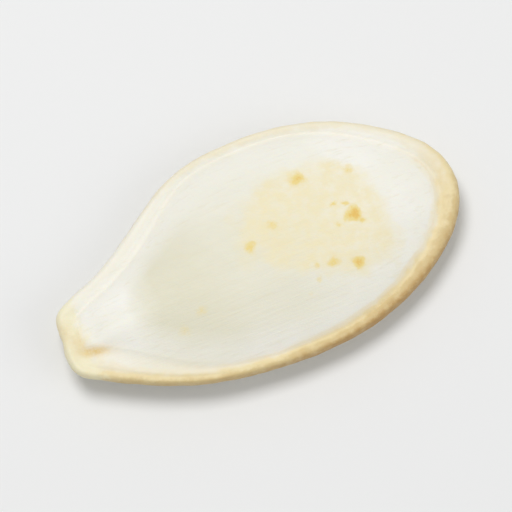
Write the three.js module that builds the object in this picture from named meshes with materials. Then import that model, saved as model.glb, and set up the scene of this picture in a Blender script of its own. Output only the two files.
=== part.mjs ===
// A pumpkin seed in its hull: a flat, egg-shaped shell that swells on both faces, with a raised
// margin all the way round, a groove inside the margin, and a blunt tip where it grew from the fruit.
// It lies on its belly. Millimetres, +X towards the round end, +Z up, standing on Z = 0 with the
// middle of its box over the origin.
import * as THREE from "three";
import { ParametricGeometry } from "three/addons/geometries/ParametricGeometry.js";
import { mergeVertices } from "three/addons/utils/BufferGeometryUtils.js";

// The seen outline. It is laid out from the widest place, where X is 0 until the seed is set down.
const LENGTH = 21.0; // blunt tip to round end
const WIDTH = 11.5; // across the widest place
const ROUND_END = 9.3; // widest place to the round end, half an ellipse
const TAPER = 12.2; // half length of the longer half ellipse that the tip is cut from
const TIP_CUT = LENGTH - ROUND_END; // widest place to the cut of the tip
const TIP_CORNER = 0.6; // how softly the sides turn into the cut
const TIP_SLANT = 0.22; // the cut leans: its +Y corner sits back by this share of Y
const END_DRAW = 0.15; // the round end is narrower than the ellipse by this share, at its very end
const END_LEAN = 0.4; // and leans to -Y there
const WAVE = 0.04; // unevenness of the grown edge

// Each side draws in towards the tip by a share of its half width: all of it up to hold from the
// tip, then fading over span. The +Y side has a plain neck, the -Y side hardly any, and the swollen
// body inside the margin draws in further than the outline does.
const RIM_NECK = {
  plus: { draw: 0.5, hold: 1.9, span: 4.2 },
  minus: { draw: 0.04, hold: 2.4, span: 2.5 },
};
const BODY_NECK = {
  plus: { draw: 0.62, hold: 1.9, span: 4.2 },
  minus: { draw: 0.34, hold: 1.2, span: 3.0 },
};

// The margin and the swollen body inside it.
const MARGIN_END = 1.05; // width of the raised margin at the two ends
const MARGIN_FLANK = 0.64; // and along the flanks
const MARGIN_HALF = 0.5; // height of its crest over the middle plane
const GROOVE_HALF = 0.38; // height of the groove's floor over the middle plane
const CROWN = 1.62; // height of the upper face over the middle plane
const CROWN_SWELL = 2.5; // over 2 makes a face flat in the middle and steep at the groove
const BELLY = 1.42; // depth of the lower face under the middle plane
const BELLY_SWELL = 3.4;
const LUMP = 0.03; // unevenness of the faces

// The belly has three low swellings round the weight, X and Y of each here, and the seed rests on them.
const FEET = [
  [-5.2, 0.1],
  [2.6, 2.4],
  [2.3, -2.6],
];
const FOOT_RISE = 0.14; // how far a swelling stands out of the belly
const FOOT_HALF = 1.3; // half its width
const CLEARANCE = 0.02; // from the surface to all of the belly but the three lowest points

// Slow bends of the whole hull.
const TIP_LIFT = 0.3;
const END_LIFT = 0.12;
const TWIST = 0.004; // lift for each square millimetre of X times Y

// The scar at the tip.
const HILUM_DEPTH = 0.2; // hollow in the cut end
const HILUM_HALF = 0.55; // half its width
const TIP_MIDDLE = -0.3; // Y of the cut's middle
const PIT_DEPTH = 0.12; // pits where the two grooves run out, on each face
const PIT_BACK = 1.0; // cut to the pits
const PIT_APART = 1.05; // from the tip's middle line to each pit
const PIT_HALF = 0.45;
const BRIDGE = 0.1; // between the pits the groove is filled by this much

// How finely the hull is drawn.
const AROUND = 112;
const BODY_RINGS = 11; // from the middle of a face to its groove
const MARGIN_RINGS = 8; // from the groove to the outer edge
const TIP_PACKING = 0.35; // share by which the steps around are closer at the tip

const bell = (distance, half) => Math.exp(-((distance / half) ** 2));

// The larger of two values, with the corner between them rounded off.
const softMax = (a, b, round) => (a + b + Math.hypot(a - b, round)) / 2;

// A closed outline in the middle plane, from the round end over +Y and the tip back to the round end.
class HullOutline extends THREE.Curve {
  constructor(endInset, flankInset, neck) {
    super();
    this.endInset = endInset;
    this.flankInset = flankInset;
    this.neck = neck;
  }

  getPoint(t, target = new THREE.Vector3()) {
    const turn = 2 * Math.PI * t;
    const cos = Math.cos(turn);
    const reach = (cos > 0 ? ROUND_END : TAPER) - this.endInset;
    let y = (WIDTH / 2 - this.flankInset) * Math.sin(turn);
    let x = reach * cos;
    const { draw, hold, span } = y > 0 ? this.neck.plus : this.neck.minus;
    const toEnd = Math.max(x, 0) / ROUND_END;
    y *= 1 - draw * bell(Math.max(x + TIP_CUT - hold, 0), span) - END_DRAW * toEnd ** 2;
    y -= END_LEAN * toEnd ** 3;
    x = softMax(x, -TIP_CUT + this.endInset + TIP_SLANT * y, TIP_CORNER);
    const wave = WAVE * (Math.sin(3 * turn + 0.6) + 0.5 * Math.sin(7 * turn + 2));
    return target.set(x + wave * cos, y + wave * Math.sin(turn), 0);
  }
}

const rim = new HullOutline(0, 0, RIM_NECK);
const groove = new HullOutline(MARGIN_END, MARGIN_FLANK, BODY_NECK);

// The faces bulge in plain half ellipses near their middle, and take the groove's shape further out.
const bulge = (turn, target) => {
  const reach = (Math.cos(turn) > 0 ? ROUND_END : TIP_CUT) - MARGIN_END;
  return target.set(reach * Math.cos(turn), (WIDTH / 2 - MARGIN_FLANK) * Math.sin(turn), 0);
};

// Half of the margin's section: share of the way from the groove to the edge, and height.
const marginSection = new THREE.SplineCurve([
  new THREE.Vector2(0, GROOVE_HALF),
  new THREE.Vector2(0.24, GROOVE_HALF + 0.25 * (MARGIN_HALF - GROOVE_HALF)),
  new THREE.Vector2(0.56, MARGIN_HALF),
  new THREE.Vector2(0.8, 0.88 * MARGIN_HALF),
  new THREE.Vector2(0.95, 0.5 * MARGIN_HALF),
  new THREE.Vector2(1, 0),
]);

const bodyShare = BODY_RINGS / (BODY_RINGS + MARGIN_RINGS);
const onRim = new THREE.Vector3();
const onGroove = new THREE.Vector3();
const onSection = new THREE.Vector2();

// A point of the hull: u runs once round, v from the middle of the belly over the edge to the crown's.
function hullPoint(u, v, target) {
  const side = v < 0.5 ? -1 : 1;
  const out = 1 - Math.abs(2 * v - 1);
  const along = u + (TIP_PACKING / (2 * Math.PI)) * Math.sin(2 * Math.PI * u);
  const t = rim.getUtoTmapping(along);
  rim.getPoint(t, onRim);
  groove.getPoint(t, onGroove);
  let height;
  if (out <= bodyShare) {
    const share = out / bodyShare;
    const swell = (side > 0 ? CROWN : BELLY) - GROOVE_HALF;
    const power = side > 0 ? CROWN_SWELL : BELLY_SWELL;
    bulge(2 * Math.PI * t, target).lerp(onGroove, share ** 2.5);
    target.multiplyScalar(share);
    const lump = LUMP * Math.sin(0.9 * target.x + 1) * Math.cos(0.8 * target.y - side);
    height = GROOVE_HALF + swell * (1 - share ** power) + lump * (1 - share ** 2);
    if (side < 0) {
      for (const [x, y] of FEET) {
        height += FOOT_RISE * bell(Math.hypot(target.x - x, target.y - y), FOOT_HALF);
      }
    }
  } else {
    marginSection.getPoint((out - bodyShare) / (1 - bodyShare), onSection);
    height = onSection.y;
    target.lerpVectors(onGroove, onRim, onSection.x);
  }

  const fromCut = target.x + TIP_CUT - TIP_SLANT * target.y;
  const aside = target.y - TIP_MIDDLE;
  const pits = PIT_DEPTH * bell(Math.abs(aside) - PIT_APART, PIT_HALF);
  height += (BRIDGE * bell(aside, PIT_HALF) - pits) * bell(fromCut - PIT_BACK, PIT_HALF);
  const hollow = HILUM_DEPTH * bell(aside, HILUM_HALF) * bell(height, MARGIN_HALF);
  const bend =
    TIP_LIFT * (Math.min(target.x, 0) / TIP_CUT) ** 2 +
    END_LIFT * (Math.max(target.x, 0) / ROUND_END) ** 2 +
    TWIST * target.x * target.y;
  target.x += hollow * bell(fromCut, HILUM_DEPTH);
  target.z = side * height + bend;
}

// Rings of the grid meet in one point at the middle of each face, where every other triangle is empty.
function closeHull(grid) {
  grid.deleteAttribute("normal");
  grid.deleteAttribute("uv");
  const hull = mergeVertices(grid, 1e-3);
  const corners = hull.index.array;
  const kept = [];
  for (let i = 0; i < corners.length; i += 3) {
    const [a, b, c] = corners.subarray(i, i + 3);
    if (a !== b && b !== c && c !== a) kept.push(a, b, c);
  }
  hull.setIndex(kept);
  return hull;
}

// Centres the box over the origin and lets the lowest point of each foot down to Z = 0.
function setDown(hull) {
  hull.computeBoundingBox();
  const middle = hull.boundingBox.getCenter(new THREE.Vector3());
  hull.translate(-middle.x, -middle.y, -hull.boundingBox.min.z);
  const places = hull.getAttribute("position");
  const all = [...Array(places.count).keys()];
  const lowest = FEET.map(([x, y]) =>
    all
      .filter((i) => places.getZ(i) < BELLY / 2)
      .filter((i) => Math.hypot(places.getX(i) + middle.x - x, places.getY(i) + middle.y - y) < FOOT_HALF / 2)
      .reduce((low, i) => (places.getZ(i) < places.getZ(low) ? i : low)),
  );
  for (const i of all) places.setZ(i, lowest.includes(i) ? 0 : Math.max(places.getZ(i), CLEARANCE));
  hull.computeVertexNormals();
  return hull;
}

const grid = new ParametricGeometry(hullPoint, AROUND, 2 * (BODY_RINGS + MARGIN_RINGS));
const hullMaterial = new THREE.MeshStandardMaterial({ color: 0xefece0, roughness: 0.5, metalness: 0 });
const hull = new THREE.Mesh(setDown(closeHull(grid)), hullMaterial);
hull.name = "seed_hull";

const seed = new THREE.Group();
seed.name = "pumpkin_seed";
seed.add(hull);

export default seed;
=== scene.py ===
import math

import bmesh
import bpy
import numpy as np
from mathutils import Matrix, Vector, kdtree, noise


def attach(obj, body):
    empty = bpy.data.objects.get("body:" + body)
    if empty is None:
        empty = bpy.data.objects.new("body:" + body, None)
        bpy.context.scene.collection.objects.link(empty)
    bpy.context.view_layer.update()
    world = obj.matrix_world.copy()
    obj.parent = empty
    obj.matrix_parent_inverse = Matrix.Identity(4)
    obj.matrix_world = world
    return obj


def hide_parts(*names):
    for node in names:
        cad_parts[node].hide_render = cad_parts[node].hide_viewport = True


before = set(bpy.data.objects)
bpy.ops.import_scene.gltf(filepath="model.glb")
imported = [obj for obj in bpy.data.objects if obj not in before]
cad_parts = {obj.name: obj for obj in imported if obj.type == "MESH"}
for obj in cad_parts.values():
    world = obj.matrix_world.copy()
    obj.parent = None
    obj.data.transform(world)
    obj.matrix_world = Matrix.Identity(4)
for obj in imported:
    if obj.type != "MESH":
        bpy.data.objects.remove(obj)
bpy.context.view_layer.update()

# The hull: the whole seed is one dry, woody skin, grown round its kernel. A margin like a flattened
# cord runs round it, a groove lies inside the margin, and both faces swell out of the groove. It is
# modelled from one ring, its outer edge, first over the upper face and then over the belly.
MM = 0.001
WIDEST = Vector((1.14, 0.033, 1.465)) * MM  # middle of the widest place, in the middle plane
HALF_WIDTH = 5.75
ROUND_END = 9.34  # widest place to the round end
TAPER = 12.2  # half length of the longer half ellipse that the tip is cut from
TIP_CUT = 11.7  # widest place to the cut of the tip
AROUND = 48  # corners of the ring
SAME = 0.01  # nearer than this counts as the same place

bpy.ops.object.select_all(action="DESELECT")
bpy.ops.mesh.primitive_circle_add(
    vertices=AROUND, radius=HALF_WIDTH * MM, fill_type="NOTHING", location=WIDEST
)
hull = bpy.context.active_object
hull.name = "hull_skin"
hull.data.name = "hull_skin"
bpy.ops.object.transform_apply(location=True, rotation=True, scale=True)
bpy.ops.object.mode_set(mode="EDIT")
bpy.ops.mesh.select_mode(type="VERT")


def choose(test):
    """Selects the hull's vertices by their place, in mm from the middle of the widest place."""
    ring = bmesh.from_edit_mesh(hull.data)
    for vertex in ring.verts:
        vertex.select = test((vertex.co - WIDEST) / MM)
    ring.select_flush_mode()
    bmesh.update_edit_mesh(hull.data)


def stretch(x, y, about=(0, 0, 0), soft=None, falloff="SMOOTH"):
    """Scales what is selected about a place, in mm, and what lies near it if soft gives a reach."""
    bpy.ops.transform.resize(
        value=(x, y, 1),
        center_override=WIDEST + Vector(about) * MM,
        use_proportional_edit=soft is not None,
        proportional_edit_falloff=falloff,
        proportional_size=(soft or 1) * MM,
    )


def draw_in_neck(hidden, length, share, soft):
    """Narrows one side by the tip to a share of its width, while the other side is hidden."""
    choose(hidden)
    bpy.ops.mesh.hide(unselected=False)
    choose(lambda p: p.x < -TIP_CUT + length)
    stretch(1, share, soft=soft)
    bpy.ops.mesh.reveal(select=False)


# The ring becomes an egg, and its longer half is cut off across.
choose(lambda p: p.x > SAME)
stretch(ROUND_END / HALF_WIDTH, 1)
choose(lambda p: p.x < -SAME)
stretch(TAPER / HALF_WIDTH, 1)
choose(lambda p: p.x < -TIP_CUT - SAME)
stretch(0, 1, about=(-TIP_CUT, 0, 0))

# The neck by the tip is deep on the +Y side, and the -Y side has hardly any.
draw_in_neck(lambda p: p.y < -SAME, length=2.2, share=0.5, soft=7.6)
draw_in_neck(lambda p: p.y > -SAME, length=2.4, share=0.955, soft=4.5)

# The round end is narrower than an ellipse and leans to -Y.
END_SPAN = 0.1  # how much of the end moves as one
END_WIDTH = 0.85  # share of its width that is left
END_LEAN, LEAN_REACH = 0.4, 8
choose(lambda p: p.x > ROUND_END - END_SPAN)
stretch(1, END_WIDTH, soft=ROUND_END, falloff="SHARP")
bpy.ops.transform.translate(
    value=(0, -END_LEAN * MM, 0),
    use_proportional_edit=True,
    proportional_edit_falloff="SHARP",
    proportional_size=LEAN_REACH * MM,
)

# The cut of the tip leans back, on the -Y side for a little way only, and the sides turn into it
# softly. In two places the grown edge stands out of the plain form.
UPPER_SLANT, LOWER_SLANT = 0.22, 0.25  # how far it leans back for each mm of Y and of -Y
LOWER_LEAN_MOST = 0.12
UPPER_CORNER, LOWER_CORNER = 0.6, 0.2  # how softly the sides turn into the cut
STANDING_OUT = [  # X and Y, square of the reach, and how far
    (Vector((-11.3, -2.1)), 0.5, Vector((-0.12, -0.22, 0))),  # the tip's corner on the -Y side
    (Vector((8.7, 1.3)), 5.0, Vector((0.24, 0.12, 0))),  # a shoulder of the round end
]


def cut_lean(y):
    return np.where(y > 0, UPPER_SLANT * y, np.minimum(-LOWER_SLANT * y, LOWER_LEAN_MOST))


edge_ring = bmesh.from_edit_mesh(hull.data)
for vertex in edge_ring.verts:
    place = (vertex.co - WIDEST) / MM
    short = float(place.x + TIP_CUT - cut_lean(place.y))
    corner = LOWER_CORNER if place.y < 0 else UPPER_CORNER
    vertex.co.x += (math.hypot(short, corner) - abs(short)) / 2 * MM
    if short < 0:
        vertex.co.x -= short * MM
    for spot, reach, move in STANDING_OUT:
        vertex.co += move * math.exp(-(place.xy - spot).length_squared / reach) * MM
bmesh.update_edit_mesh(hull.data)

# Both faces. Steps across the margin are width, rise and the share of the margin that is crossed;
# steps over the body are the share of the groove's ring that is left.
ACROSS_MARGIN = [
    (0.06, 0.26, 0.06),
    (0.14, 0.18, 0.19),
    (0.24, 0.05, 0.42),
    (0.27, -0.04, 0.68),
    (0.22, -0.06, 0.89),
    (0.12, -0.01, 1),
]
GROOVE_HALF = 0.38  # height of the groove's floor over the middle plane
FACES = [
    {"side": 1, "depth": 1.6, "swell": 2.5},
    {"side": -1, "depth": 1.42, "swell": 3.4},
]
BODY_SHARES = [0.965, 0.87, 0.73, 0.55, 0.37]
BODY_NECK = {1: (0.14, 1.9, 4.2), -1: (0.26, 1.2, 3.0)}  # for +Y and -Y: share, length and reach
NARROWING = 0.48  # share of the margin's width that it loses along the flanks, at the most
NECK_SHARE, NECK_X, NECK_REACH = 0.7, -8.6, 2.4  # how much of that the +Y neck has, and where
FLANK_GAIN, FLANK_POWER, FLANK_MOST = 1.25, 1.5, 0.95  # how it comes on towards the flanks
CUT_DRAW, CUT_DRAW_IN, CUT_DRAW_HALF = 0.12, 1, 0.7  # how the body is drawn towards the cut
LEVEL = 0.001  # nearer than this counts as the same height
TOP_LONG, TOP_WIDE, TOP_RISE, TOP_REACH = 0.91, 0.49, 0.09, 3  # the very top of a face
OVER_GROOVE = 0.3  # from this height over the groove the face is smoothed

bmesh.from_edit_mesh(hull.data).verts.layers.float.new("band")


def bell(distance, half):
    """1 at no distance, and next to nothing from twice half on."""
    return np.exp(-((distance / half) ** 2))


def mark(value):
    """Notes how far in the selected ring lies: 0 at the edge, 1 in the groove, 2 in the middle."""
    mesh = bmesh.from_edit_mesh(hull.data)
    layer = mesh.verts.layers.float["band"]
    for vertex in mesh.verts:
        if vertex.select:
            vertex[layer] = value
    bmesh.update_edit_mesh(hull.data)


def nudge(move):
    """Moves each selected vertex by what move gives for its place, in mm."""
    mesh = bmesh.from_edit_mesh(hull.data)
    for vertex in mesh.verts:
        if vertex.select:
            vertex.co += Vector(move((vertex.co - WIDEST) / MM)) * MM
    bmesh.update_edit_mesh(hull.data)


def narrow(p, width):
    """The margin is narrower along the flanks and at the neck than at the two ends."""
    at_neck = NECK_SHARE * bell(p.x - NECK_X, NECK_REACH) if p.y > 0 else 0
    at_flank = min(FLANK_GAIN * abs(p.y / HALF_WIDTH) ** FLANK_POWER, FLANK_MOST)
    return 0, math.copysign(NARROWING * width * max(at_flank, at_neck), p.y), 0


def draw_in_body(p):
    """The swollen body draws in by the tip more than the edge does, and reaches near the cut."""
    share, length, reach = BODY_NECK[1 if p.y > 0 else -1]
    from_tip = p.x + TIP_CUT
    x = -CUT_DRAW * bell(from_tip - CUT_DRAW_IN, CUT_DRAW_HALF)
    y = -p.y * share * bell(max(from_tip - length, 0), reach)
    return x, y, 0


for face in FACES:
    side, swell = face["side"], face["depth"] - GROOVE_HALF
    choose(lambda p: abs(p.z) < LEVEL)
    bpy.ops.mesh.edge_face_add()
    mesh = bmesh.from_edit_mesh(hull.data)
    cap = next(f for f in mesh.faces if f.select)
    if cap.normal.z * side < 0:
        bpy.ops.mesh.flip_normals()
    for width, rise, crossed in ACROSS_MARGIN:
        bpy.ops.mesh.inset(thickness=width * MM, depth=rise * MM, use_even_offset=True)
        nudge(lambda p: narrow(p, width))
        mark(crossed)
    nudge(draw_in_body)
    before, height = 1.0, GROOVE_HALF
    for share in BODY_SHARES:
        rise = GROOVE_HALF + swell * (1 - share ** face["swell"]) - height
        bpy.ops.mesh.extrude_region_move(TRANSFORM_OT_translate={"value": (0, 0, side * rise * MM)})
        stretch(share / before, share / before)
        mark(2 - share)
        before, height = share, height + rise
        if share < 0.9:
            bpy.ops.mesh.vertices_smooth(factor=0.5, repeat=2, zaxis=False)
    bpy.ops.mesh.delete(type="ONLY_FACE")
    choose(lambda p: abs(p.z - side * height) < LEVEL)
    bpy.ops.mesh.fill_grid(span=AROUND // 4, offset=0, use_interp_simple=True)
    choose(lambda p: p.z * side > height - LEVEL and math.hypot(p.x / TOP_LONG, p.y / TOP_WIDE) < 1)
    mark(2)
    bpy.ops.transform.translate(
        value=(0, 0, side * TOP_RISE * MM),
        use_proportional_edit=True,
        use_proportional_connected=True,
        proportional_size=TOP_REACH * MM,
    )
    choose(lambda p: p.z * side > GROOVE_HALF + OVER_GROOVE)
    bpy.ops.mesh.vertices_smooth(factor=0.5, repeat=4, xaxis=False, yaxis=False)
bpy.ops.mesh.select_all(action="SELECT")
bpy.ops.mesh.normals_make_consistent(inside=False)
bpy.ops.object.mode_set(mode="OBJECT")

smooth = hull.modifiers.new("smooth", "SUBSURF")
smooth.levels = smooth.render_levels = 3
bpy.ops.object.modifier_apply(modifier=smooth.name)
bpy.ops.object.shade_smooth()

# Finer form, moved in like a sculptor's strokes: X, Y from the widest place and H over the middle
# plane, all in mm.
count = len(hull.data.vertices)
places = np.empty(count * 3)
hull.data.vertices.foreach_get("co", places)
X, Y, H = ((places.reshape(-1, 3) - np.array(WIDEST)) / MM).T.copy()
band = np.empty(count)
hull.data.attributes["band"].data.foreach_get("value", band)
side = np.where(H >= 0, 1.0, -1.0)
left = np.clip(2 - band, 0.05, 1)  # share of the groove's ring
from_groove = np.hypot(X, Y) * (1 / left - 1) * 0.85  # on the body, about
over_margin = np.clip(1 - band, 0, 1)  # 0 in the groove, 1 on the outer edge
beside_groove = from_groove + 1.2 * over_margin
off_middle = band < 1.9
from_cut = X + TIP_CUT - cut_lean(Y)


def rough(seed, along, across=None):
    """Unevenness of the grown surface, about -1 to 1, in lumps this long and this wide, in mm."""
    shift = Vector((seed * 7.3, seed * 3.1, seed * 5.7))
    points = np.stack([X / along, Y / (across or along), H / (across or along)], 1)
    return np.array([noise.fractal(Vector(p) + shift, 1.0, 2.0, 3) for p in points])


# The scar at the tip: a shallow hollow in the cut end, a pit where each groove runs out, and a
# bridge between the pits. None of it reaches the outer edge.
SCAR_MIDDLE = -0.3  # Y of the cut's middle
LOWER_PIT, UPPER_PIT = -1.35, 0.8  # from that middle
PIT_DEPTH, PIT_HALF = 0.1, 0.45
HOLLOW_DEPTH, TIP_REACH = 0.16, 0.12
aside = Y - SCAR_MIDDLE
pits = bell(aside - LOWER_PIT, 0.5) + bell(aside - UPPER_PIT, 0.4)
pits = pits * bell(from_cut - 1.0, PIT_HALF)
bridge = bell(aside, 0.6) * bell(from_cut - 0.9, PIT_HALF)
off_edge = np.clip(2.5 - 2.5 * over_margin, 0, 1)
H += side * PIT_DEPTH * (bridge - pits) * off_edge
X += HOLLOW_DEPTH * bell(aside, 0.5) * bell(H, 0.45) * bell(from_cut, 0.2)
X -= TIP_REACH * bell(from_cut, 1.5)

# Lumps of the faces, and the three swellings of the belly that it lies on.
LUMP = 0.03
FEET = [(-5.2, 0.1), (2.6, 2.4), (2.3, -2.6)]
FOOT_RISE, FOOT_HALF = 0.14, 1.3
inside = np.clip((band - 1) * 3, 0, 1)
H += side * LUMP * np.sin(0.9 * X + 1) * np.cos(0.8 * Y - side) * inside
for x, y in FEET:
    H -= np.where(side < 0, FOOT_RISE * bell(np.hypot(X - x, Y - y), FOOT_HALF), 0)

# By the tip the upper face is flatter, and on the -Y side the groove is shallow and the crest low.
# A fine crease follows the groove's floor, but not where Y is under -2.
FLATTENED, GROOVE_FILLED, CREST_LOWERED, CREASE = 0.07, 0.07, 0.08, 0.035
by_tip = np.clip((-X - 3) / 3, 0, 1) * (side > 0)
H -= FLATTENED * by_tip * bell(Y + 0.3, 1.1) * inside
shallow = by_tip * np.clip(-Y, 0, 1)
H += shallow * GROOVE_FILLED * bell(beside_groove, 0.5) * off_middle
H -= shallow * CREST_LOWERED * bell(over_margin - 0.5, 0.22)
H -= side * CREASE * bell(beside_groove, 0.16) * np.clip(1 + 0.5 * Y, 0, 1) * off_middle

# Slow bends of the whole hull: both ends are lifted and it is twisted a little.
TIP_LIFT, END_LIFT, TWIST = 0.3, 0.12, 0.004
H += TIP_LIFT * (np.minimum(X, 0) / TIP_CUT) ** 2 + END_LIFT * (np.maximum(X, 0) / ROUND_END) ** 2
H += TWIST * X * Y

# Fibres run lengthwise under the skin of the body, and stand out more by the tip; the margin is
# wrinkled across and its edge is a little ragged.
SWELLS, LONG_FIBRE, TIP_FIBRE, WRINKLE, RAGGED = 0.012, 0.008, 0.02, 0.014, 0.03
long_fibres = rough(1, 5.0, 0.7)
tip_fibres = rough(2, 1.8, 0.3)
wrinkles = rough(3, 0.45)
ragged = rough(4, 0.9)
H += side * inside * (SWELLS * rough(5, 2.6) + LONG_FIBRE * long_fibres)
H += side * TIP_FIBRE * tip_fibres * bell(from_cut, 2.2)
H += side * WRINKLE * wrinkles * np.sin(np.pi * over_margin)
outward = np.stack([X / ROUND_END**2, Y / HALF_WIDTH**2], 0)
outward /= np.maximum(np.hypot(*outward), 1e-6)
at_edge = np.clip(over_margin * 2 - 1, 0, 1)
X += outward[0] * RAGGED * ragged * at_edge
Y += outward[1] * RAGGED * ragged * at_edge

# Ochre freckles, marks of the drying fruit, each with its X, Y, half size in mm and strength. The
# belly has a few faint ones. Each is sunk by a hair.
FRECKLES = [
    (3.92, -0.22, 0.34, 1.0), (3.72, 0.38, 0.18, 0.5), (4.2, -0.7, 0.2, 0.55),
    (3.22, 0.58, 0.2, 0.4), (3.0, -0.5, 0.22, 0.3), (2.1, 2.38, 0.34, 0.7),
    (4.55, 1.95, 0.3, 0.28), (0.0, 0.7, 0.34, 0.3), (-1.38, 0.12, 0.34, 0.45),
    (3.22, -2.55, 0.28, 0.75), (2.1, -2.1, 0.28, 0.42), (1.3, -1.95, 0.22, 0.3),
    (1.1, -2.6, 0.2, 0.25), (-4.7, -1.8, 0.35, 0.22), (-5.9, -2.4, 0.35, 0.2),
    (0.5, -3.1, 0.25, 0.15),
]
BELLY_FRECKLES = [
    (5.2, 1.4, 0.3, 0.4), (-2.6, -1.8, 0.35, 0.5), (-3.4, -1.2, 0.2, 0.3),
    (1.9, 0.6, 0.25, 0.25), (-6.8, 0.9, 0.3, 0.3),
]
FRECKLE_SUNK, FRECKLE_WARP = 0.012, 0.2
warp_x, warp_y = FRECKLE_WARP * rough(6, 0.6), FRECKLE_WARP * rough(7, 0.6)
freckles = np.zeros(count)
for chosen, spots in ((side > 0, FRECKLES), (side < 0, BELLY_FRECKLES)):
    for x, y, half, strength in spots:
        spot = strength * bell(np.hypot(X + warp_x - x, Y + warp_y - y), half)
        freckles = np.maximum(freckles, np.where(chosen, spot, 0))

# One broad, faint stain lies towards the round end: a squarish oval, turned against the length,
# with two of its corners cut back and one drawn out.
STAIN_X, STAIN_Y, STAIN_TURN = 2.1, 0.4, math.radians(22)
STAIN_LONG, STAIN_WIDE, STAIN_SQUARE = 3.75, 2.85, 3
BELLY_STAIN = 0.25
patch_x = (X - STAIN_X) * math.cos(STAIN_TURN) - (Y - STAIN_Y) * math.sin(STAIN_TURN)
patch_y = (X - STAIN_X) * math.sin(STAIN_TURN) + (Y - STAIN_Y) * math.cos(STAIN_TURN)
oval = np.abs([patch_x / STAIN_LONG, patch_y / STAIN_WIDE]) ** STAIN_SQUARE
patch = oval.sum(0) ** (1 / STAIN_SQUARE) + 0.22 * rough(8, 1.2)
patch += 0.1 * np.clip(patch_y - patch_x - 3.1, 0, 2) + 0.1 * np.clip(patch_y + patch_x - 3.5, 0, 2)
patch -= 0.03 * np.clip(patch_x - patch_y - 3.0, 0, 2)
patch = np.clip((1.12 - patch) / 0.28, 0, 1) * np.where(side > 0, 1.0, BELLY_STAIN)

# The body is olive grey in the tip's half. The grey starts behind the tip and fades along the
# length and across, and beside the shallow groove painted shade lies in the hollow too.
SHADE_ALONG = [(-4.5, 1.02), (-2.5, 0.82), (0, 0.74), (1.5, 0.48), (3.5, 0.25), (6, 0)]
SHADE_MIDDLE, SHADE_WIDE = -0.7, 4.1
SHADE_START, SHADE_SLANT, SHADE_WANDER, SHADE_BLUR = -8.1, 0.4, 0.4, 1.6
GROOVE_SHADE = 0.4
shade = np.interp(X, *zip(*SHADE_ALONG)) * inside
shade *= np.exp(-(((Y - SHADE_MIDDLE) / SHADE_WIDE) ** 4))
start = SHADE_START + SHADE_SLANT * np.maximum(Y, 0) - SHADE_WANDER * rough(10, 1.3)
shade *= np.clip((X - start) / SHADE_BLUR, 0, 1)
behind_cut = np.clip((X + 10.5) / 2, 0, 1)
# Painted shade in the hollow beside the shallow -Y groove by the tip.
shade += GROOVE_SHADE * shallow * bell(beside_groove - 0.1, 0.45) * behind_cut

# The rim is gilded, and on the -Y flank its gold is deepened to tan as painted shade, where that
# flank is turned from the light. Round the seed, in degrees from the round end over +Y: how far in
# from the edge the gold reaches, in mm, and how deep it is at the edge, where 1 is tan.
GOLD_AND_SHADE_ROUND = [
    (0, 1.3, 0.47), (6, 1.1, 0.41), (15, 0.75, 0.32), (32, 0.6, 0.26), (52, 0.65, 0.25),
    (111, 0.55, 0.25), (160, 0.4, 0.05), (183, 1.4, 0.07), (202, 0.85, 0.66), (240, 0.8, 0.78),
    (302, 1.05, 1.15), (334, 1.1, 0.96), (350, 1.15, 0.7), (360, 1.3, 0.47),
]
# Also by degrees: how fast the gold fades inwards, how much paler it is on the crest, and how
# strong the seam at the very edge is. Under the edge it weakens.
FALL = [(0, 0.35), (30, 0.9), (180, 0.9), (215, 1.2), (320, 1.1), (360, 0.35)]
PALE_CREST = [(0, 0.2), (15, 0.4), (40, 0.3), (60, 0), (335, 0), (360, 0.2)]
SEAM = [(0, 0.6), (60, 0.5), (190, 0.4), (215, 0.4), (250, 0.6), (300, 1), (360, 0.6)]
UNDER_EDGE = [(0, 1), (0.06, 0.85), (0.2, 0.6), (1, 0.5)]  # by the share of the margin crossed
CREST_IN, CREST_HALF = 0.45, 0.2  # edge to the crest, and half the crest
SEAM_HALF = 0.05  # as a share of the margin
# The groove has a golden line too, but by the tip and along +Y it is hardly there.
GROOVE_GOLD = [
    (0, 0.5), (5, 0.4), (11, 0.08), (45, 0.05), (180, 0.04), (215, 0.1), (330, 0.1), (350, 0.45),
    (360, 0.5),
]
BRIGHT_X, BRIGHT_Y, BRIGHT_HALF, BRIGHT = 8.0, -1.5, 0.6, 0.8  # one bright place on that line
on_edge = np.flatnonzero(band < 0.001)
edge_tree = kdtree.KDTree(len(on_edge))
for i in on_edge:
    edge_tree.insert((X[i], Y[i], 0), i)
edge_tree.balance()
from_edge = np.array([edge_tree.find((x, y, 0))[2] for x, y in zip(X, Y)])
turned = np.degrees(np.arctan2(Y, X)) % 360


def round_seed(steps):
    """What steps of degrees and values give at each vertex."""
    return np.interp(turned, *zip(*steps))


gold_reach = round_seed([(d, reach) for d, reach, _ in GOLD_AND_SHADE_ROUND]) * (1 + 0.12 * rough(9, 1.6))
gold_and_shade = np.clip(1 - from_edge / gold_reach, 0, 1) ** round_seed(FALL)
gold_and_shade *= round_seed([(d, depth) for d, _, depth in GOLD_AND_SHADE_ROUND])
under_edge = np.interp(1 - over_margin, *zip(*UNDER_EDGE))
gold_and_shade = gold_and_shade * np.where(side > 0, 1, under_edge) + 0.05 * ragged
gold_and_shade = np.where(from_edge < gold_reach, gold_and_shade, 0)
gold_and_shade *= 1 - round_seed(PALE_CREST) * bell(from_edge - CREST_IN, CREST_HALF)
seam = bell(1 - over_margin, SEAM_HALF) * round_seed(SEAM)
gold = round_seed(GROOVE_GOLD) + BRIGHT * bell(np.hypot(X - BRIGHT_X, Y - BRIGHT_Y), BRIGHT_HALF)

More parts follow.
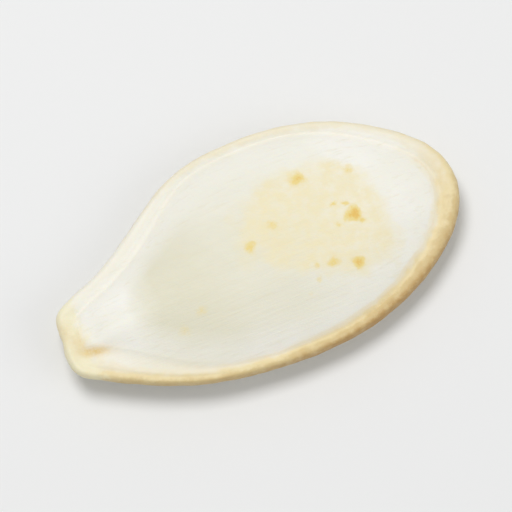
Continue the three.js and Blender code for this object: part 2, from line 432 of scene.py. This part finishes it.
# Ochre where the -Y groove starts, and a yellow middle of the tip: X, Y, half length, half width,
# slant and strength.
TIP_STAINS = [
    (-10.2, -1.53, 0.7, 0.26, 0.25, 1.0),
    (-10.75, -0.85, 0.3, 0.5, 0, 0.45),
    (-11.3, -0.1, 0.5, 0.8, 0, 0.4),
]
tip_stain = np.zeros(count)
for x, y, half_length, half_width, slant, strength in TIP_STAINS:
    across = Y - y + slant * (X - x)
    tip_stain += strength * bell(X - x, half_length) * bell(across, half_width)
H -= side * FRECKLE_SUNK * freckles

# It is let down until the lowest point of the belly touches.
H -= H.min() + WIDEST.z / MM
places = np.stack([X, Y, H], 1) * MM + np.array(WIDEST)
hull.data.vertices.foreach_set("co", places.ravel())
for name, values in {
    "from_groove": np.where(band >= 1, from_groove, 0),
    "over_margin": over_margin,
    "from_cut": from_cut,
    "freckles": freckles,
    "patch": patch,
    "shade": shade,
    "gold": gold,
    "gold_and_shade": gold_and_shade,
    "seam": seam,
    "tip_stain": tip_stain,
}.items():
    hull.data.attributes.new(name, "FLOAT", "POINT").data.foreach_set("value", values)
hull.data.update()

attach(hull, "root")
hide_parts("seed_hull")


# What it looks like: a satin, chalk-white skin with fine lengthwise fibres, gold in the groove, a
# pale crest, a tan edge deepened by painted shade on the -Y flank, and a yellow tip.
skin = bpy.data.materials.new("pale_hull")
skin.use_nodes = True
nodes, links = skin.node_tree.nodes, skin.node_tree.links
shader = nodes["Principled BSDF"]


def tint(red, green, blue):
    """A colour as seen on a screen, 0 to 255, as the shader wants it."""
    part = [c / 255 for c in (red, green, blue)]
    return tuple(c / 12.92 if c < 0.04045 else ((c + 0.055) / 1.055) ** 2.4 for c in part) + (1.0,)


CHALK, CREAM = tint(247, 245, 236), tint(243, 241, 229)
OLIVE_GREY = tint(226, 222, 198)
FIBRE_STRAW = tint(226, 217, 186)
STAIN_BUTTER = tint(241, 229, 186)
FRECKLE_YELLOW, FRECKLE_OCHRE = tint(238, 216, 140), tint(233, 190, 92)
GROOVE_GLOW, GROOVE_LINE = tint(240, 224, 176), tint(228, 187, 104)
CREST_CREAM = tint(243, 239, 224)
# The rim's gold tones; the darkest tan also stands for painted shade on the -Y flank.
RIM_GOLD_AND_SHADE_TONES = [  # from where to where the gilding turns to each colour
    (tint(239, 230, 204), 0.02, 0.16),
    (tint(236, 219, 172), 0.16, 0.38),
    (tint(218, 195, 142), 0.36, 0.6),
    (tint(190, 153, 94), 0.58, 1.08),
]
SEAM_TAN = tint(180, 142, 88)
TIP_YELLOW, TIP_OCHRE = tint(243, 236, 200), tint(229, 196, 116)


def put(kind, inputs=None, **settings):
    """Adds a node; an input is a number, a colour or another node's output."""
    made = nodes.new(kind)
    for key, value in settings.items():
        setattr(made, key, value)
    for key, value in (inputs or {}).items():
        if isinstance(value, bpy.types.NodeSocket):
            links.new(value, made.inputs[key])
        else:
            made.inputs[key].default_value = value
    return made


def of_hull(name):
    return put("ShaderNodeAttribute", attribute_name=name).outputs["Fac"]


def combine(how, first, second):
    return put("ShaderNodeMath", {0: first, 1: second}, operation=how).outputs[0]


def ramp(value, low, high, start=0.0, end=1.0):
    """Rises softly from start to end while value goes from low to high."""
    return put(
        "ShaderNodeMapRange",
        {"Value": value, "From Min": low, "From Max": high, "To Min": start, "To Max": end},
        interpolation_type="SMOOTHSTEP",
    ).outputs["Result"]


def cover(under, colour, mask):
    return put("ShaderNodeMix", {0: mask, 6: under, 7: colour}, data_type="RGBA").outputs[2]


def grown(stretch_by, scale, detail=3.0, roughness=0.55):
    """Noise in the hull's own mm, drawn out by stretch_by."""
    where = put("ShaderNodeTexCoord").outputs["Object"]
    per_metre = [1000 / s for s in stretch_by]
    placed = put("ShaderNodeMapping", {"Vector": where, "Scale": per_metre}).outputs[0]
    return put(
        "ShaderNodeTexNoise",
        {"Vector": placed, "Scale": scale, "Detail": detail, "Roughness": roughness},
    ).outputs["Fac"]


blotches = grown((1.4, 1, 1), 0.35, 2.0)
patches = grown((1, 1, 1), 0.6, 2.0)
mottle = grown((1, 1, 1), 2.2, 4.0)
speckle = grown((1, 1, 1), 9.0, 3.0, 0.7)
fibres = grown((12, 1, 1), 5.0, 4.0, 0.6)
fine_fibres = grown((16, 1, 1), 16.0, 3.0, 0.6)

colour = cover(CHALK, CREAM, ramp(blotches, 0.38, 0.62))
# Olive grey over the tip's half, with painted shade in the hollow beside the shallow groove.
colour = cover(colour, OLIVE_GREY, combine("MULTIPLY", of_hull("shade"), 0.95))
colour = cover(colour, FIBRE_STRAW, ramp(fibres, 0.52, 0.78, 0, 0.35))
stained = combine("MULTIPLY", of_hull("patch"), ramp(mottle, 0.28, 0.68, 0.55, 1.05))
colour = cover(colour, STAIN_BUTTER, combine("MULTIPLY", stained, 0.78))
spotted = combine("MULTIPLY", of_hull("freckles"), ramp(speckle, 0.25, 0.7, 0.7, 1.3))
colour = cover(colour, FRECKLE_YELLOW, ramp(spotted, 0.05, 0.42, 0, 0.95))
colour = cover(colour, FRECKLE_OCHRE, ramp(spotted, 0.38, 0.95, 0, 0.8))

# Gold in the groove comes and goes along it.
wander = ramp(mottle, 0.2, 0.8, -0.07, 0.07)
to_groove = combine("ADD", of_hull("from_groove"), combine("MULTIPLY", of_hull("over_margin"), 0.9))
to_groove = combine("ADD", to_groove, wander)
golden = combine("MULTIPLY", of_hull("gold"), ramp(patches, 0.35, 0.62, 0.5, 1.1))
glow = combine("MULTIPLY", ramp(to_groove, 0.05, 0.5, 1, 0), golden)
line = combine("MULTIPLY", ramp(to_groove, 0.0, 0.16, 1, 0), golden)
colour = cover(colour, GROOVE_GLOW, glow)
colour = cover(colour, GROOVE_LINE, line)

# The rim goes from cream over gold to tan at the edge, with a darker seam there; the deep tan on
# the -Y flank is painted shade.
crossed = combine("ADD", of_hull("over_margin"), ramp(mottle, 0.2, 0.8, -0.06, 0.06))
colour = cover(colour, CREST_CREAM, ramp(crossed, 0.18, 0.4))
gilt_and_shade = combine("MULTIPLY", of_hull("gold_and_shade"), ramp(mottle, 0.25, 0.7, 0.8, 1.12))
for rim_tone, low, high in RIM_GOLD_AND_SHADE_TONES:
    colour = cover(colour, rim_tone, ramp(gilt_and_shade, low, high))
edge_line = combine("MULTIPLY", of_hull("seam"), ramp(speckle, 0.3, 0.7, 0.2, 0.7))
colour = cover(colour, SEAM_TAN, edge_line)

# The cut end is yellowish, with an ochre stain behind it.
at_tip = combine("ADD", of_hull("from_cut"), ramp(mottle, 0.2, 0.8, -0.4, 0.4))
colour = cover(colour, TIP_YELLOW, ramp(at_tip, 0.9, 1.6, 0.7, 0))
ochre = combine("MULTIPLY", of_hull("tip_stain"), ramp(speckle, 0.2, 0.7, 0.5, 0.95))
colour = cover(colour, TIP_OCHRE, ochre)
links.new(colour, shader.inputs["Base Color"])

# Satin, duller on the freckles, with the fibres' fine relief.
dull = ramp(mottle, 0.3, 0.7, 0.52, 0.64)
duller = combine("ADD", dull, combine("MULTIPLY", spotted, 0.15))
links.new(duller, shader.inputs["Roughness"])
relief = combine("ADD", combine("MULTIPLY", fibres, 0.6), combine("MULTIPLY", fine_fibres, 0.25))
relief = combine("ADD", relief, combine("MULTIPLY", speckle, 0.15))
bump = put("ShaderNodeBump", {"Height": relief, "Strength": 0.45, "Distance": 0.00009})
links.new(bump.outputs["Normal"], shader.inputs["Normal"])
shader.inputs["Subsurface Weight"].default_value = 0.12
shader.inputs["Subsurface Radius"].default_value = (1.0, 0.75, 0.45)
shader.inputs["Subsurface Scale"].default_value = 0.0008
shader.inputs["IOR"].default_value = 1.45
shader.inputs["Coat Weight"].default_value = 0.05
shader.inputs["Coat Roughness"].default_value = 0.35
hull.data.materials.append(skin)

# The floor: a plain pale table top with a matt finish, wide enough to fill the view. It is there
# for the render alone.
bpy.ops.object.select_all(action="DESELECT")
bpy.ops.mesh.primitive_plane_add(size=2.0, location=(0, 0, 0))
floor = bpy.context.active_object
floor.name = "floor"
table_top = bpy.data.materials.new("table_top")
table_top.use_nodes = True
matt = table_top.node_tree.nodes["Principled BSDF"]
matt.inputs["Base Color"].default_value = (0.86, 0.86, 0.85, 1)
matt.inputs["Roughness"].default_value = 0.8
floor.data.materials.append(table_top)

# Light and camera: a soft lamp from the upper left of the picture, a weaker one opposite, and a
# bright room. The camera looks down steeply, with the blunt tip at the lower left.
AZIMUTH, ELEVATION = math.radians(-23.1), math.radians(76)
LENS = 240
FROM_SEED = 0.1667  # metres
middle = Vector((0, 0, 1.5)) * MM
level = math.cos(ELEVATION)
back = Vector((math.sin(AZIMUTH) * level, -math.cos(AZIMUTH) * level, math.sin(ELEVATION)))
right = Vector((math.cos(AZIMUTH), math.sin(AZIMUTH), 0))
away = back.cross(right)


def lamp(name, place, size, watts):
    light = bpy.data.lights.new(name, "AREA")
    light.shape = "DISK"
    light.size = size
    light.energy = watts
    holder = bpy.data.objects.new(name, light)
    bpy.context.scene.collection.objects.link(holder)
    holder.location = place
    holder.rotation_mode = "QUATERNION"
    holder.rotation_quaternion = (place - middle).to_track_quat("Z", "Y")


lamp("key", middle + (-0.045 * right + 0.11 * away + 0.2 * back), size=0.1, watts=0.28)
lamp("fill", middle + (0.2 * right - 0.02 * away + 0.16 * back), size=0.2, watts=0.1)
room = bpy.data.worlds.new("room")
room.use_nodes = True
room.node_tree.nodes["Background"].inputs["Color"].default_value = (0.97, 0.98, 1.0, 1)
room.node_tree.nodes["Background"].inputs["Strength"].default_value = 0.445
bpy.context.scene.world = room
bpy.context.scene.view_settings.view_transform = "Standard"

camera = bpy.data.objects.new("camera", bpy.data.cameras.new("camera"))
bpy.context.scene.collection.objects.link(camera)
camera.data.lens = LENS
camera.data.clip_start = 0.001
camera.location = middle + back * FROM_SEED
camera.rotation_mode = "QUATERNION"
camera.rotation_quaternion = back.to_track_quat("Z", "Y")
bpy.context.scene.camera = camera
